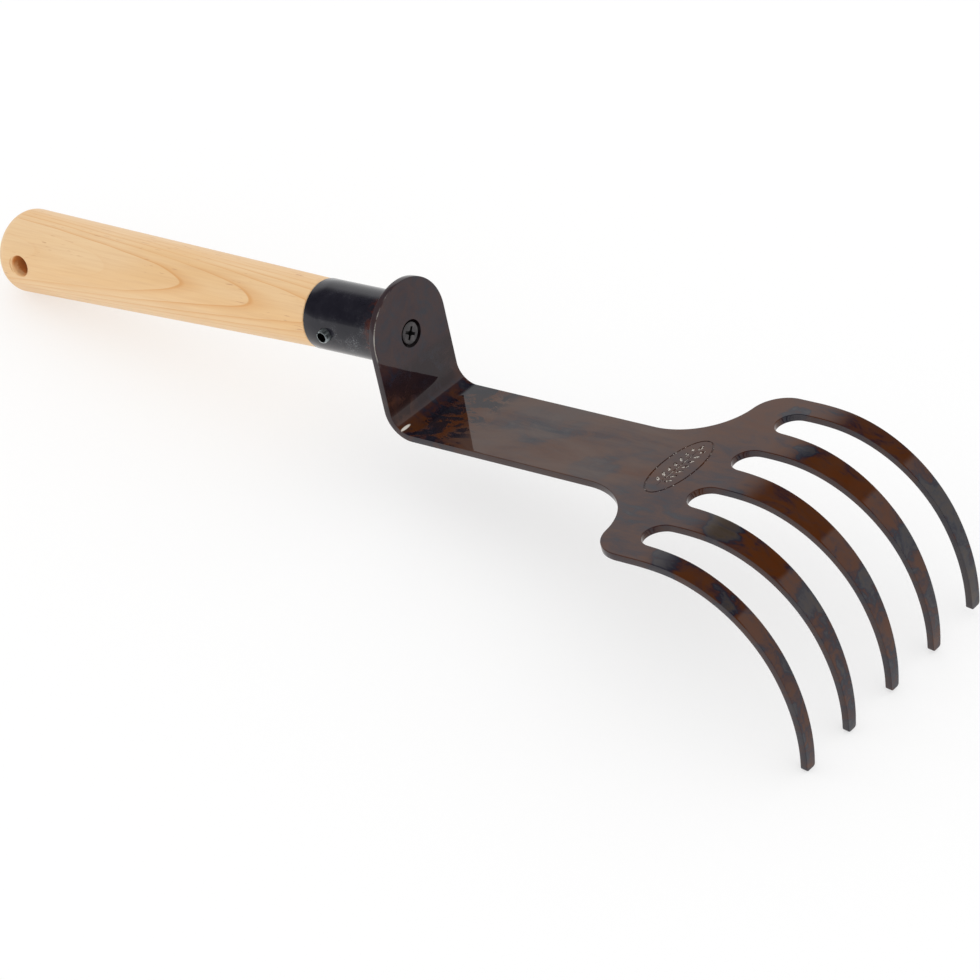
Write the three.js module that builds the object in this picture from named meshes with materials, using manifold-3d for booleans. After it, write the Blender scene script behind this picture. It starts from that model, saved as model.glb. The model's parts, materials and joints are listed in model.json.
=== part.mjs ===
// Garden hand cultivator: a turned wooden handle, a steel ferrule welded to the head, and a five-tine head cut
// and bent from one steel plate. Millimetres.
// The tool is drawn about its handle's axis: +X runs from the butt to the tines, +Y to the left, +Z up, and
// x = 0 is the flange's front face. At the end it is laid down on its tine tips and its butt, at z = 0.
import * as THREE from "three";
import { mergeVertices } from "three/addons/utils/BufferGeometryUtils.js";
import Module from "manifold-3d";

const wasm = await Module();
wasm.setup();

// Shared
const GAP = 0.3; // left between pieces that touch
const FINE = 56; // segments round a turned piece
const SPARE = 5; // how far a cutting shape runs past what it cuts
const EASE = 0.3; // chamfer on turned rims

// Head plate
const PLATE = 3.2;
const NECK_HALF = 23.4; // half the neck's width, and the radius of the flange's round top
const FLANGE_RISE = 1; // centre of that round top above the handle's axis
const CORNER_Z = -37.8; // where the flange's front and the neck's top would meet without a bend
const BEND_INSIDE = 9.5; // inside radius of the bend
const NECK_JOIN = 30; // the bent strip overlaps the flat plate up to here
const NECK_FALL = THREE.MathUtils.degToRad(0.7); // the neck drops this much below square
const HEAD_HALF = 66; // half the width over the outer tines
const FLARE_RADIUS = 31.6; // hollow curve from the neck out to the shoulder
const SHOULDER_RADIUS = 15; // round corner of the shoulder
const SHOULDER_AT = 155; // distance along the neck to the centre of the shoulder's corner

// Tines, by distance along the plate from the corner
const PITCH = 31.4;
const SLOT_RADIUS = 8.05; // round inner end of each slot
const SLOT_AT = 164.7; // centre of that round end
const CURL_START = 165; // the plate is flat up to here
const CURL = [[13, 115], [70, 64], [50, 84.7]]; // arcs of the curl: length and top-side radius
const TINE_ENDS = [294.2, 294, 293.3, 293.1, 290]; // from right to left: a hand-finished head, a little uneven
const TINES = TINE_ENDS.length;
const TINE_TAPER = 0.0385; // half width lost per millimetre of length
const TOE_IN = 2; // how far the outer tines' tips lean inwards
const TIP_RADIUS = 1.4; // round corners of each tip
const TINE_STEPS = 40;

// Ferrule, weld, screw and pin
const FERRULE_RADIUS = 15.875;
const FERRULE_WALL = 1.65;
const FERRULE_RIM = -49.2; // the end towards the butt
const WELD_LEG = 3.6;
const SINK_RADIUS = 6.3; // countersink at the flange's face
const SINK_LAND = 0.4; // straight bore left behind it
const SCREW_HEAD_RADIUS = 5.05;
const SCREW_HEAD_EDGE = 0.2;
const SCREW_RADIUS = 2.4;
const SCREW_Z = -1.05; // the screw sits this far off the handle's axis
const SCREW_END = -27;
const SCREW_POINT = 6; // length of its point
const SCREW_CONE = 0.75; // depth of the head's cone for each millimetre it narrows
const SCREW_SUNK = 0.5; // the head sits this far below the flange's face
const RECESS_SPAN = 6.3; // cross recess in the screw's head
const RECESS_TURN = THREE.MathUtils.degToRad(-33);
const RECESS_WIDTH = 1.1;
const RECESS_DEPTH = 1.6;
const PIN_AT = -36.5;
const PIN_RADIUS = 3;
const PIN_WALL = 0.75;
const PIN_SLOT = THREE.MathUtils.degToRad(30);
const PIN_PROUD = 18.6; // from the axis to the pin's outer end
const PIN_INNER = -12.4;

// Handle
const TENON_RADIUS = FERRULE_RADIUS - FERRULE_WALL - GAP;
const TENON_END = -6;
const TENON_EASE = 1;
const WOOD_START = FERRULE_RIM - GAP;
const WOOD_RADIUS = 15.6; // next to the ferrule
const BUTT_RADIUS = 19.65; // where the dome starts
const DOME_AT = -235.6;
const DOME_LENGTH = 11.6;
const HANG_HOLE_AT = -226.5;
const HANG_HOLE_RADIUS = 4.75;
const HANG_HOLE_EASE = 1; // eased edge at each mouth
const HANG_HOLE_ANGLE = THREE.MathUtils.degToRad(8.4); // its right mouth is this much above level

// A closed geometry as a solid that can be joined and cut.
function solid(geometry) {
  const bare = geometry.clone();
  bare.deleteAttribute("normal");
  bare.deleteAttribute("uv");
  const merged = mergeVertices(bare, 1e-4);
  const index = merged.index.array;
  const triVerts = [];
  for (let i = 0; i < index.length; i += 3) {
    const [a, b, c] = index.slice(i, i + 3);
    if (a !== b && b !== c && c !== a) triVerts.push(a, b, c);
  }
  return new wasm.Manifold(
    new wasm.Mesh({
      numProp: 3,
      vertProperties: merged.attributes.position.array,
      triVerts: new Uint32Array(triVerts),
    }),
  );
}

// A solid as a mesh with its node's name and finish.
function piece(name, made, color, roughness, metalness) {
  const { vertProperties, triVerts } = made.getMesh();
  const geometry = new THREE.BufferGeometry()
    .setAttribute("position", new THREE.BufferAttribute(vertProperties, 3))
    .setIndex(new THREE.BufferAttribute(triVerts, 1));
  geometry.computeVertexNormals();
  const material = new THREE.MeshStandardMaterial({ color, roughness, metalness, flatShading: true });
  const mesh = new THREE.Mesh(geometry, material);
  mesh.name = name;
  return mesh;
}

// A profile of [place along the axis, radius] turned about the X axis; its outside runs towards +X.
function turned(profile, segments = FINE) {
  const points = profile.map(([along, radius]) => new THREE.Vector2(radius, along));
  return solid(new THREE.LatheGeometry(points, segments).rotateZ(-Math.PI / 2));
}

// A round bar across the handle, from one distance off its axis to another. Positive distances are on the right,
// tilted up by the angle.
function crossBar(at, angle, radius, from, to) {
  const bar = new THREE.CylinderGeometry(radius, radius, to - from, 40);
  return bar.translate(0, (from + to) / 2, 0).rotateX(-angle).scale(1, -1, -1).translate(at, 0, 0);
}

// Points on an arc, from one angle to another.
function arc(cx, cy, radius, from, to, steps) {
  return Array.from({ length: steps + 1 }, (_, i) => {
    const a = from + ((to - from) * i) / steps;
    return new THREE.Vector2(cx + radius * Math.cos(a), cy + radius * Math.sin(a));
  });
}

// ---- Head: flange, bend and the start of the neck ----

const neckAt = (along) => [along * Math.cos(NECK_FALL), CORNER_Z - along * Math.sin(NECK_FALL)];
const bendTurn = Math.PI / 2 - NECK_FALL;
const bendReach = BEND_INSIDE * Math.tan(bendTurn / 2);
const bendZ = CORNER_Z + bendReach;

function bentStrip() {
  const side = new THREE.Shape();
  const inner = arc(BEND_INSIDE, bendZ, BEND_INSIDE, Math.PI, Math.PI + bendTurn, 14);
  const outer = arc(BEND_INSIDE, bendZ, BEND_INSIDE + PLATE, Math.PI + bendTurn, Math.PI, 14);
  const [endX, endZ] = neckAt(NECK_JOIN);
  const under = [endX - PLATE * Math.sin(NECK_FALL), endZ - PLATE * Math.cos(NECK_FALL)];
  const top = FLANGE_RISE + NECK_HALF + SPARE;
  side.setFromPoints([
    new THREE.Vector2(0, top),
    ...inner,
    new THREE.Vector2(endX, endZ),
    new THREE.Vector2(...under),
    ...outer,
    new THREE.Vector2(-PLATE, top),
  ]);
  const strip = new THREE.ExtrudeGeometry(side, { depth: 4 * NECK_HALF, bevelEnabled: false });
  return solid(strip.translate(0, 0, -2 * NECK_HALF).rotateX(Math.PI / 2));
}

// The flange seen from the front: straight sides and a round top.
function flangeFront() {
  const front = new THREE.Shape();
  front.setFromPoints([
    new THREE.Vector2(-NECK_HALF, CORNER_Z - PLATE - SPARE),
    new THREE.Vector2(NECK_HALF, CORNER_Z - PLATE - SPARE),
    ...arc(0, FLANGE_RISE, NECK_HALF, 0, Math.PI, 40),
  ]);
  const depth = PLATE + NECK_JOIN + 2 * SPARE;
  const block = new THREE.ExtrudeGeometry(front, { depth, bevelEnabled: false });
  return solid(block.rotateX(Math.PI / 2).rotateZ(Math.PI / 2).translate(-PLATE - SPARE, 0, 0));
}

// ---- Head: neck and palm, flat in their own plane ----

function palmPlate() {
  const flareY = NECK_HALF + FLARE_RADIUS;
  const shoulderY = HEAD_HALF - SHOULDER_RADIUS;
  const reach = FLARE_RADIUS + SHOULDER_RADIUS;
  const flareX = SHOULDER_AT - Math.sqrt(reach ** 2 - (flareY - shoulderY) ** 2);
  const meet = Math.atan2(shoulderY - flareY, SHOULDER_AT - flareX);
  const left = [
    new THREE.Vector2(NECK_JOIN - 2 * SPARE, NECK_HALF),
    ...arc(flareX, flareY, FLARE_RADIUS, -Math.PI / 2, meet, 22),
    ...arc(SHOULDER_AT, shoulderY, SHOULDER_RADIUS, meet + Math.PI, Math.PI / 2, 14).slice(1),
    new THREE.Vector2(CURL_START, HEAD_HALF),
  ];
  const right = left.map((p) => new THREE.Vector2(p.x, -p.y)).reverse();
  const slots = [];
  for (let i = 0; i < TINES - 1; i++) {
    const y = ((TINES - 2) / 2 - i) * PITCH;
    slots.push(
      new THREE.Vector2(CURL_START, y + SLOT_RADIUS),
      ...arc(SLOT_AT, y, SLOT_RADIUS, Math.PI / 2, 1.5 * Math.PI, 18),
      new THREE.Vector2(CURL_START, y - SLOT_RADIUS),
    );
  }
  const outline = new THREE.Shape();
  outline.setFromPoints([...left, ...slots, ...right]);
  const plate = new THREE.ExtrudeGeometry(outline, { depth: PLATE, bevelEnabled: false });
  return solid(plate.translate(0, 0, -PLATE).rotateY(NECK_FALL).translate(0, 0, CORNER_Z));
}

// ---- Head: tines ----

// The plate's top side at a distance along it: place and downward slope.
function curled(along) {
  let [x, z] = neckAt(Math.min(along, CURL_START));
  let slope = NECK_FALL;
  let left = Math.max(along - CURL_START, 0);
  for (const [length, radius] of CURL) {
    const turn = Math.min(left, length) / radius;
    x += radius * (Math.sin(slope + turn) - Math.sin(slope));
    z += radius * (Math.cos(slope + turn) - Math.cos(slope));
    slope += turn;
    left -= Math.min(left, length);
  }
  return { x, z, slope };
}

// Left and right edges of one tine at a distance along the plate. side is 1 or -1 on an outer tine, else 0.
function tineEdges(index, along) {
  const centre = (index - (TINES - 1) / 2) * PITCH;
  const side = Math.abs(index - (TINES - 1) / 2) === (TINES - 1) / 2 ? Math.sign(centre) : 0;
  const run = Math.max(along - SLOT_AT, 0);
  const half = PITCH / 2 - SLOT_RADIUS - TINE_TAPER * run;
  const end = TINE_ENDS[index];
  const toe = side * TOE_IN * (run / (end - SLOT_AT)) ** 2;
  const round = TIP_RADIUS - Math.sqrt(TIP_RADIUS ** 2 - Math.max(along - end + TIP_RADIUS, 0) ** 2);
  const low = side < 0 ? -HEAD_HALF : centre - half;
  const high = side > 0 ? HEAD_HALF : centre + half;
  return [low - toe + round, high - toe - round];
}

function tine(index) {
  const start = CURL_START - 2; // rooted this far inside the palm
  const tipStart = TINE_ENDS[index] - TIP_RADIUS;
  const straight = Array.from({ length: TINE_STEPS + 1 }, (_, i) =>
    i ? CURL_START + ((tipStart - CURL_START) * (i - 1)) / (TINE_STEPS - 1) : start,
  );
  const tip = [0.5, 0.87, 1].map((share) => tipStart + TIP_RADIUS * share);
  const positions = [];
  for (const along of [...straight, ...tip]) {
    const { x, z, slope } = curled(along);
    const [low, high] = tineEdges(index, along);
    const under = [x - PLATE * Math.sin(slope), z - PLATE * Math.cos(slope)];
    positions.push(x, low, z, x, high, z, under[0], high, under[1], under[0], low, under[1]);
  }
  const triangles = [0, 1, 2, 0, 2, 3];
  const last = positions.length / 3 - 4;
  for (let s = 0; s < last; s += 4) {
    for (let k = 0; k < 4; k++) {
      const a = s + k;
      const b = s + ((k + 1) % 4);
      triangles.push(a, a + 4, b, b, a + 4, b + 4);
    }
  }
  triangles.push(last, last + 2, last + 1, last, last + 3, last + 2);
  const bar = new THREE.BufferGeometry()
    .setAttribute("position", new THREE.Float32BufferAttribute(positions, 3))
    .setIndex(triangles);
  return solid(bar);
}

// A hole through the flange: a clearance bore and a cone sunk from the front.
function screwHole() {
  const bore = SCREW_RADIUS + GAP;
  const depth = SINK_RADIUS - bore;
  return turned([
    [-PLATE - SPARE, 0],
    [-PLATE - SPARE, bore],
    [-Math.min(depth, PLATE - SINK_LAND), bore],
    [0, SINK_RADIUS],
    [SPARE, SINK_RADIUS],
    [SPARE, 0],
  ]).translate([0, 0, SCREW_Z]);
}

function tineHead() {
  let head = bentStrip().intersect(flangeFront()).add(palmPlate());
  for (let i = 0; i < TINES; i++) head = head.add(tine(i));
  return head.subtract(screwHole());
}

// ---- Ferrule and its weld ----

function ferrule() {
  const bore = FERRULE_RADIUS - FERRULE_WALL;
  const end = -PLATE - GAP;
  const tube = turned([
    [FERRULE_RIM, bore],
    [FERRULE_RIM, FERRULE_RADIUS - EASE],
    [FERRULE_RIM + EASE, FERRULE_RADIUS],
    [end, FERRULE_RADIUS],
    [end, bore],
    [FERRULE_RIM, bore],
  ]);
  return tube.subtract(solid(crossBar(PIN_AT, 0, PIN_RADIUS + GAP, 0, PIN_PROUD + SPARE)));
}

function weldBead() {
  const inside = FERRULE_RADIUS + GAP;
  const end = -PLATE - GAP;
  const bulge = Array.from({ length: 7 }, (_, i) => {
    const a = (Math.PI / 2) * (i / 6);
    return [end - WELD_LEG * Math.cos(a), inside + EASE + (WELD_LEG - EASE) * Math.sin(a)];
  });
  return turned([[end, inside], [end - WELD_LEG, inside], ...bulge, [end, inside]]);
}

// ---- Handle ----

function handle() {
  const dome = Array.from({ length: 15 }, (_, i) => {
    const a = (Math.PI / 2) * (i / 14);
    return [DOME_AT - DOME_LENGTH * Math.cos(a), BUTT_RADIUS * Math.sin(a)];
  });
  const wood = turned([
    ...dome,
    [WOOD_START - 2 * EASE, WOOD_RADIUS],
    [WOOD_START, WOOD_RADIUS - 2 * EASE],
    [WOOD_START, TENON_RADIUS],
    [TENON_END - TENON_EASE, TENON_RADIUS],
    [TENON_END, TENON_RADIUS - TENON_EASE],
    [TENON_END, 0],
  ]);
  const across = 2 * BUTT_RADIUS;
  const hole = solid(crossBar(HANG_HOLE_AT, HANG_HOLE_ANGLE, HANG_HOLE_RADIUS, -across, across));
  const pilot = solid(
    new THREE.CylinderGeometry(SCREW_RADIUS + GAP, SCREW_RADIUS + GAP, -SCREW_END, 32)
      .rotateZ(-Math.PI / 2)
      .translate(SCREW_END / 2 - GAP, 0, SCREW_Z),
  );
  const pinHole = solid(crossBar(PIN_AT, 0, PIN_RADIUS + GAP, PIN_INNER - GAP, PIN_PROUD + SPARE));
  return wood.subtract(hole).subtract(hangHoleMouths()).subtract(pilot).subtract(pinHole);
}

// Short cones that ease both mouths of the hanging hole.
function hangHoleMouths() {
  const share = (HANG_HOLE_AT - WOOD_START) / (DOME_AT - WOOD_START);
  const skin = WOOD_RADIUS + (BUTT_RADIUS - WOOD_RADIUS) * share;
  const cone = new THREE.CylinderGeometry(
    HANG_HOLE_RADIUS + 2 * HANG_HOLE_EASE,
    HANG_HOLE_RADIUS,
    2 * HANG_HOLE_EASE,
    40,
  ).translate(0, skin, 0);
  const mouth = (turn) => solid(cone.clone().rotateX(turn).translate(HANG_HOLE_AT, 0, 0));
  const near = Math.PI - HANG_HOLE_ANGLE;
  return mouth(near).add(mouth(near + Math.PI));
}

// ---- Screw and pin ----

function flangeScrew() {
  const face = -SCREW_SUNK;
  const cone = SCREW_HEAD_RADIUS - SCREW_RADIUS;
  const body = turned([
    [SCREW_END, 0],
    [SCREW_END + SCREW_POINT, SCREW_RADIUS],
    [face - SCREW_HEAD_EDGE - cone * SCREW_CONE, SCREW_RADIUS],
    [face - SCREW_HEAD_EDGE, SCREW_HEAD_RADIUS],
    [face, SCREW_HEAD_RADIUS],
    [face, 0],
  ], 48);
  let made = body;
  for (const turn of [RECESS_TURN, RECESS_TURN + Math.PI / 2]) {
    const wing = new THREE.BoxGeometry(2 * RECESS_DEPTH, RECESS_WIDTH, RECESS_SPAN);
    made = made.subtract(solid(wing.rotateX(turn).translate(face, 0, 0)));
  }
  return made.translate([0, 0, SCREW_Z]);
}

function rollPin() {
  const from = PIN_SLOT / 2;
  const to = 2 * Math.PI - PIN_SLOT / 2;
  const section = new THREE.Shape();
  section.setFromPoints([
    ...arc(0, 0, PIN_RADIUS, from, to, 28),
    ...arc(0, 0, PIN_RADIUS - PIN_WALL, to, from, 28),
  ]);
  const bar = new THREE.ExtrudeGeometry(section, { depth: PIN_PROUD - PIN_INNER, bevelEnabled: false });
  return solid(bar.translate(0, 0, PIN_INNER).rotateX(Math.PI / 2).translate(PIN_AT, 0, 0));
}

// ---- Assembly ----

const STEEL = 0x3a3230;
const tool = new THREE.Group();
tool.add(
  piece("handle", handle(), 0xe2b982, 0.5, 0),
  piece("ferrule", ferrule(), 0x26262a, 0.35, 0.8),
  piece("weld_bead", weldBead(), 0x3b2723, 0.55, 0.8),
  piece("tine_head", tineHead(), STEEL, 0.2, 0.9),
  piece("flange_screw", flangeScrew(), 0x4a4648, 0.4, 0.9),
  piece("roll_pin", rollPin(), 0x55555a, 0.35, 0.9),
);

// The lowest point of one mesh once the tool is nosed up by an angle.
function lowest(name, lift) {
  const turn = new THREE.Matrix4().makeRotationY(-lift);
  const point = new THREE.Vector3();
  const { position } = tool.getObjectByName(name).geometry.attributes;
  let low = Infinity;
  for (let i = 0; i < position.count; i++) {
    low = Math.min(low, point.fromBufferAttribute(position, i).applyMatrix4(turn).z);
  }
  return low;
}

// Nose the tool up until the tine tips and the butt are equally low, as it lies on a table.
let least = 0;
let most = Math.PI / 6;
for (let i = 0; i < 40; i++) {
  const lift = (least + most) / 2;
  if (lowest("tine_head", lift) < lowest("handle", lift)) least = lift;
  else most = lift;
}
tool.rotation.y = -least;

const group = new THREE.Group();
group.add(tool);
const box = new THREE.Box3().setFromObject(group, true);
const middle = box.getCenter(new THREE.Vector3());
tool.position.set(-middle.x, -middle.y, -box.min.z);

export default group;
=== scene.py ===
import json
import math

import bmesh
import bpy
from mathutils import Matrix, Vector, noise


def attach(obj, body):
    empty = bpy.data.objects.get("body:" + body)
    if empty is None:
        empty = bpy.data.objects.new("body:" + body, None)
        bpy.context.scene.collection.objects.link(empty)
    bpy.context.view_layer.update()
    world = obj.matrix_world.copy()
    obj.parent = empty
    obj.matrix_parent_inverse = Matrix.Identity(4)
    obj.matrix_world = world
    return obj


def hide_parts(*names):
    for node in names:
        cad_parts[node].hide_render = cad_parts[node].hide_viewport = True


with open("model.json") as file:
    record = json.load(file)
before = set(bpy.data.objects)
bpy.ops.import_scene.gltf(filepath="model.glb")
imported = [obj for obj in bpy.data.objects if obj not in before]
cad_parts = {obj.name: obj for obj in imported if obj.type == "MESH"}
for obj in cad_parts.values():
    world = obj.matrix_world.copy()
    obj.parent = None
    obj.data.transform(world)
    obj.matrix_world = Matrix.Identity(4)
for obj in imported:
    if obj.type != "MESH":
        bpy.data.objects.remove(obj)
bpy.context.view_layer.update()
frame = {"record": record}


# ---- Camera ----
# A long lens at the height of a standing viewer's eye, off the tool's right side and in front of its tines.
# It is aimed from its own three axes, so the slight tilt of the horizon is kept.

camera_data = bpy.data.cameras.new("camera")
camera_data.sensor_width = 36
camera_data.lens = 150.92
camera = bpy.data.objects.new("camera", camera_data)
camera_right = Vector((0.7853789, 0.6188064, -0.0160838))
camera_up = Vector((-0.3716884, 0.4921998, 0.7871385))
camera_back = Vector((0.4950028, -0.6122238, 0.6165665))
camera_place = Vector((0.929182, -1.105692, 1.118090))
camera.matrix_world = (
    Matrix.Translation(camera_place)
    @ Matrix((camera_right, camera_up, camera_back)).transposed().to_4x4()
)
bpy.context.scene.collection.objects.link(camera)
bpy.context.scene.camera = camera


# ---- Handle ----
# A round hardwood grip, turned from one pale close-grained billet that thickens towards a domed butt, then
# given a thin satin lacquer. Its tenon is pressed into the ferrule, and a hanging hole crosses the butt.

# The tool's own frame, from the flange's flat front face: X runs along the handle towards the tines, Y to the
# left, Z up the flange, and X is zero at that face.
flange_mount = next(m for m in frame["record"]["mounts"] if m["name"] == "flange_front")
along_handle = Vector(flange_mount["axis"])
up_flange = along_handle.cross((0, 1, 0))
mount_height = 0.014
tool_origin = Vector(flange_mount["pos_m"]) - mount_height * up_flange
tool_axes = Matrix((along_handle, (0, 1, 0), up_flange)).transposed()
tool_frame = Matrix.Translation(tool_origin) @ tool_axes.to_4x4()

hang_angle = math.radians(8.4)
hole_direction = Vector((0, -math.cos(hang_angle), math.sin(hang_angle)))
merge_within = 1e-7


def turn_on_lathe(profile, steps):
    """A closed shape turned about the tool's long axis from places along it and radii."""
    work = bmesh.new()
    marks = [work.verts.new((along, 0, radius)) for along, radius in profile]
    lines = [work.edges.new(pair) for pair in zip(marks, marks[1:])]
    bmesh.ops.spin(work, geom=marks + lines, cent=(0, 0, 0), axis=(1, 0, 0), dvec=(0, 0, 0),
                   angle=2 * math.pi, steps=steps, use_merge=True, use_normal_flip=False,
                   use_duplicate=False)
    bmesh.ops.remove_doubles(work, verts=work.verts, dist=merge_within)
    bmesh.ops.recalc_face_normals(work, faces=work.faces)
    return work


def make_piece(name, work, sharp_above=35):
    """Turns a worked mesh into a named object, smooth but for its sharp edges."""
    for face in work.faces:
        face.smooth = True
    for edge in work.edges:
        folded = len(edge.link_faces) == 2 and edge.calc_face_angle(0) > math.radians(sharp_above)
        edge.smooth = not folded
    mesh = bpy.data.meshes.new(name)
    work.to_mesh(mesh)
    work.free()
    piece = bpy.data.objects.new(name, mesh)
    bpy.context.scene.collection.objects.link(piece)
    return piece


def carve(piece, cutter):
    """Cuts one object out of another and throws the cutter away."""
    cut = piece.modifiers.new("carve", "BOOLEAN")
    cut.operation = "DIFFERENCE"
    cut.solver = "EXACT"
    cut.use_self = True
    cut.object = cutter
    view_layer = bpy.context.evaluated_depsgraph_get()
    carved = bpy.data.meshes.new_from_object(piece.evaluated_get(view_layer))
    piece.modifiers.clear()
    carved.name = piece.data.name
    piece.data = carved
    bpy.data.objects.remove(cutter)


def resharpen(piece, sharp_above=35):
    """Works out the smooth and sharp edges again after carving."""
    work = bmesh.new()
    work.from_mesh(piece.data)
    bmesh.ops.remove_doubles(work, verts=work.verts, dist=2 * merge_within)
    for face in work.faces:
        face.smooth = True
    for edge in work.edges:
        folded = len(edge.link_faces) == 2 and edge.calc_face_angle(0) > math.radians(sharp_above)
        edge.smooth = not folded
    work.to_mesh(piece.data)
    work.free()


def into_place(piece, node):
    """Lays a finished piece into the tool's frame, ties it to the root body and hides the CAD node that it
    replaces.
    """
    piece.data.transform(tool_frame)
    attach(piece, "root")
    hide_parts(node)


ferrule_rim = -0.0492
wood_start = ferrule_rim - 0.0003
wood_radius = 0.0156
butt_radius = 0.01965
dome_at = -0.2356
dome_length = 0.0116
dome_steps = 24
turned_steps = 144
tenon_radius = 0.013925
tenon_end = -0.006
tenon_ease = 0.001
hole_at = -0.2265
hole_radius = 0.00475
hole_ease = 0.0012  # radius of the rounded mouths
hole_rings = 11  # rings of points in the wood round the hole
hole_ring_step = 0.0018

handle_profile = []
for step in range(dome_steps + 1):
    turn = math.pi / 2 * step / dome_steps
    handle_profile.append((dome_at - dome_length * math.cos(turn), butt_radius * math.sin(turn)))
wood_taper = (wood_radius - butt_radius) / (wood_start - 0.0004 - dome_at)
taper_rings = [dome_at + hole_ring_step * place for place in range(1, hole_rings + 1)] + [-0.16, -0.1]
handle_profile += [(ring, butt_radius + wood_taper * (ring - dome_at)) for ring in taper_rings]
handle_profile += [
    (wood_start - 0.0010, wood_radius),
    (wood_start - 0.0004, wood_radius - 0.0001),
    (wood_start, wood_radius - 0.0005),
    (wood_start, tenon_radius),
    (tenon_end - tenon_ease, tenon_radius),
    (tenon_end, tenon_radius - tenon_ease),
    (tenon_end, 0),
]
handle = make_piece("handle_wood", turn_on_lathe(handle_profile, turned_steps))

skin_at_hole = butt_radius + wood_taper * (hole_at - dome_at)
drill_reach = skin_at_hole + 0.004
flare_steps = 6
drill_steps = 64
hole_profile = [(-drill_reach, 0)]
for side in (-1, 1):
    flare = []
    for step in range(flare_steps + 1):
        turn = math.pi / 2 * step / flare_steps
        flare.append((side * (skin_at_hole - 0.0004 - hole_ease * (1 - math.sin(turn)) * 1.2),
                      hole_radius + hole_ease * (1 - math.cos(turn))))
    flare.append((side * drill_reach, hole_radius + 1.4 * hole_ease))
    hole_profile += flare if side > 0 else flare[::-1]
hole_profile.append((drill_reach, 0))
drill = turn_on_lathe(hole_profile, drill_steps)
bmesh.ops.rotate(drill, verts=drill.verts, cent=(0, 0, 0),
                 matrix=Vector((1, 0, 0)).rotation_difference(hole_direction).to_matrix())
bmesh.ops.translate(drill, verts=drill.verts, vec=(hole_at, 0, 0))
carve(handle, make_piece("drill", drill))
resharpen(handle)


def new_material(name):
    """An empty node material with its shader; node_in adds to it."""
    material = bpy.data.materials.new(name)
    material.use_nodes = True
    shader = material.node_tree.nodes["Principled BSDF"]
    return material, shader


def node_in(material, kind, settings=(), **inputs):
    """Adds one node to a material and fills or links its inputs, by name or by number as i0, i1, i2."""
    node = material.node_tree.nodes.new(kind)
    for option, value in dict(settings).items():
        setattr(node, option, value)
    for label, value in inputs.items():
        numbered = label[0] == "i" and label[1:].isdigit()
        socket = node.inputs[int(label[1:]) if numbered else label]
        if isinstance(value, bpy.types.NodeSocket):
            material.node_tree.links.new(value, socket)
        else:
            socket.default_value = value
    return node


def link(material, source, shader, label):
    """Joins an output to one of the shader's named sockets."""
    material.node_tree.links.new(source, shader.inputs[label])


def sums(material, operation, first, second=0.5, third=0.5, clamp=False):
    """One Math node, as its output."""
    return node_in(material, "ShaderNodeMath", {"operation": operation, "use_clamp": clamp},
                   i0=first, i1=second, i2=third).outputs[0]


def scaled(material, value, by, plus):
    """A value times one number plus another."""
    return sums(material, "MULTIPLY_ADD", value, by, plus)


def product(material, *shares):
    """Numbers multiplied together."""
    result = shares[0]
    for share in shares[1:]:
        result = sums(material, "MULTIPLY", result, share)
    return result


def vector_sum(material, operation, first, second, third=(0, 0, 0)):
    """One Vector Math node, as its vector."""
    return node_in(material, "ShaderNodeVectorMath", {"operation": operation},
                   i0=first, i1=second, i2=third).outputs["Vector"]


def measure(material, operation, first, second=(0, 0, 0)):
    """One Vector Math node that gives a number: a DISTANCE, a DOT_PRODUCT or a LENGTH."""
    return node_in(material, "ShaderNodeVectorMath", {"operation": operation},
                   i0=first, i1=second).outputs["Value"]


def distance_from(material, vector, place, stretch):
    """How far a vector is from a place, with each axis counted by its stretch."""
    gap = vector_sum(material, "SUBTRACT", vector, place)
    return measure(material, "LENGTH", vector_sum(material, "MULTIPLY", gap, stretch))


def axis_of(material, vector, axis):
    """One axis of a vector."""
    return node_in(material, "ShaderNodeSeparateXYZ", Vector=vector).outputs[axis]


def fade(material, value, low, high):
    """0 below low, 1 above high, smooth between."""
    return node_in(material, "ShaderNodeMapRange", {"interpolation_type": "SMOOTHSTEP"},
                   **{"Value": value, "From Min": low, "From Max": high}).outputs["Result"]


def blend(material, share, first, second, kind="MIX"):
    """Two colours mixed by a share."""
    node = material.node_tree.nodes.new("ShaderNodeMix")
    node.data_type = "RGBA"
    node.blend_type = kind
    for socket, value in zip((node.inputs[0], node.inputs[6], node.inputs[7]), (share, first, second)):
        if isinstance(value, bpy.types.NodeSocket):
            material.node_tree.links.new(value, socket)
        else:
            socket.default_value = value
    return node.outputs[2]


def grain_noise(material, vector, scale, detail=2.0, roughness=0.5, distortion=0.0):
    """One Noise texture's value."""
    return node_in(material, "ShaderNodeTexNoise", Vector=vector, Scale=scale, Detail=detail,
                   Roughness=roughness, Distortion=distortion).outputs["Fac"]


def tool_coordinates(material, stretch=(1, 1, 1), shift=(0, 0, 0)):
    """Object coordinates turned and moved into the tool's own frame, then stretched."""
    place = node_in(material, "ShaderNodeTexCoord").outputs["Object"]
    turned = node_in(material, "ShaderNodeMapping", {"vector_type": "TEXTURE"}, Vector=place,
                     Location=tuple(tool_origin), Rotation=tuple(tool_axes.to_euler())).outputs[0]
    if stretch == (1, 1, 1) and shift == (0, 0, 0):
        return turned
    return node_in(material, "ShaderNodeMapping", Vector=turned, Location=shift, Scale=stretch).outputs[0]


def stretched_noise(material, stretch, shift=(0, 0, 0), detail=2.0, roughness=0.5, distortion=0.0):
    """One Noise texture's value, with its own stretch along each of the tool's axes."""
    place = tool_coordinates(material, stretch, shift)
    return grain_noise(material, place, 1.0, detail, roughness, distortion)


wood, wood_shader = new_material("lacquered_maple")
at = tool_coordinates(wood)
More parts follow.
